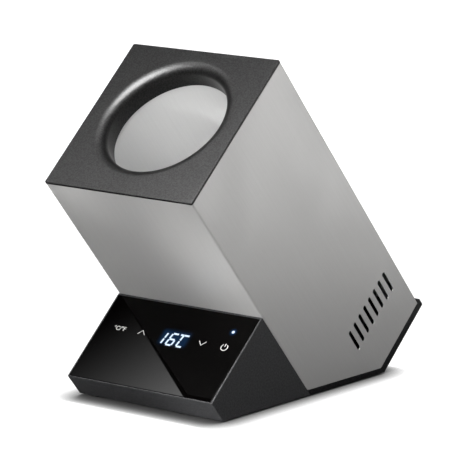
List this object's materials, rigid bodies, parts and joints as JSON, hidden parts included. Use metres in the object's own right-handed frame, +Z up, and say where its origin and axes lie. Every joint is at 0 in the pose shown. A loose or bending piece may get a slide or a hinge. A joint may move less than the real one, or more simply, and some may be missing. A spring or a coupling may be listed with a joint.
{
  "type": "thermoelectric bottle cooler",
  "caption": "Leaning single-bottle thermoelectric cooler: brushed steel sleeve with a round well, a sloped touch panel with a display in front, side vents and a rear fan grille.",
  "frame": {"origin": "middle of the bounding box in plan, on the table plane under the feet", "axes": "+Z up from the table, -Y to the front where the control panel is, +X to the right as seen from the front; the sleeve leans 42 degrees forward about X"},
  "size_m": [0.14, 0.307, 0.267],
  "materials": {
    "sleeve_steel": "satin",
    "bezel_plastic": "matte",
    "housing_plastic": "matte",
    "base_plastic": "matte",
    "panel_glass": "gloss",
    "well_aluminium": "satin",
    "block_aluminium": "satin",
    "rubber": "matte",
    "foam": "matte",
    "sensor_resin": "gloss",
    "module_ceramic": "matte",
    "fan_plastic": "satin",
    "bush_brass": "satin",
    "stator_copper": "satin",
    "magnet_rubber": "matte",
    "screw_steel": "satin",
    "jack_plastic": "satin",
    "touch_film": "satin",
    "circuit_board": "satin",
    "display_face": "gloss",
    "led_resin": "gloss",
    "capacitor_sleeve": "satin",
    "socket_plastic": "satin",
    "red_wire": "satin",
    "black_wire": "satin",
    "grey_wire": "satin"
  },
  "bodies": {
    "cooler": {"outer_sleeve": "sleeve_steel", "top_bezel": "bezel_plastic", "well_gasket": "rubber", "bottle_well": "well_aluminium", "bottle_pad": "rubber", "insulation_left": "foam", "insulation_right": "foam", "temperature_sensor": "sensor_resin", "cold_block": "block_aluminium", "peltier_module": "module_ceramic", "peltier_frame": "foam", "heat_sink": "block_aluminium", "fan_frame": "fan_plastic", "fan_bush": "bush_brass", "fan_stator": "stator_copper", "base_cover": "base_plastic", "power_jack": "jack_plastic", "jack_nut": "screw_steel", "control_housing": "housing_plastic", "control_glass": "panel_glass", "touch_film": "touch_film", "display_board": "circuit_board", "led_display": "display_face", "status_led": "led_resin", "housing_bottom": "base_plastic", "power_board": "circuit_board", "inductor": "stator_copper", "capacitor": "capacitor_sleeve", "wire_sockets": "socket_plastic", "ribbon_cable": "grey_wire", "peltier_lead_red": "red_wire", "peltier_lead_black": "black_wire", "sensor_lead": "grey_wire", "fan_lead": "grey_wire", "jack_lead": "black_wire", "cold_block_screw_1": "screw_steel", "cold_block_screw_2": "screw_steel", "clamp_bolt_1": "screw_steel", "clamp_bolt_2": "screw_steel", "fan_screw_1": "screw_steel", "fan_screw_2": "screw_steel", "fan_screw_3": "screw_steel", "fan_screw_4": "screw_steel", "end_screw_1": "screw_steel", "end_screw_2": "screw_steel", "end_screw_3": "screw_steel", "end_screw_4": "screw_steel", "housing_screw_1": "screw_steel", "housing_screw_2": "screw_steel", "bottom_screw_1": "screw_steel", "bottom_screw_2": "screw_steel", "bottom_screw_3": "screw_steel", "bottom_screw_4": "screw_steel", "foot_front_left": "rubber", "foot_front_right": "rubber", "foot_rear_left": "rubber", "foot_rear_right": "rubber"},
    "rotor": {"fan_rotor": "fan_plastic", "fan_magnet": "magnet_rubber", "fan_shaft": "screw_steel"}
  },
  "joints": [
    {"name": "fan_spin", "type": "hinge", "parent": "cooler", "child": "rotor", "pos_m": [0, 0.10521, 0.0385], "axis": [0, -0.6691, 0.7431], "continuous": true}
  ]
}
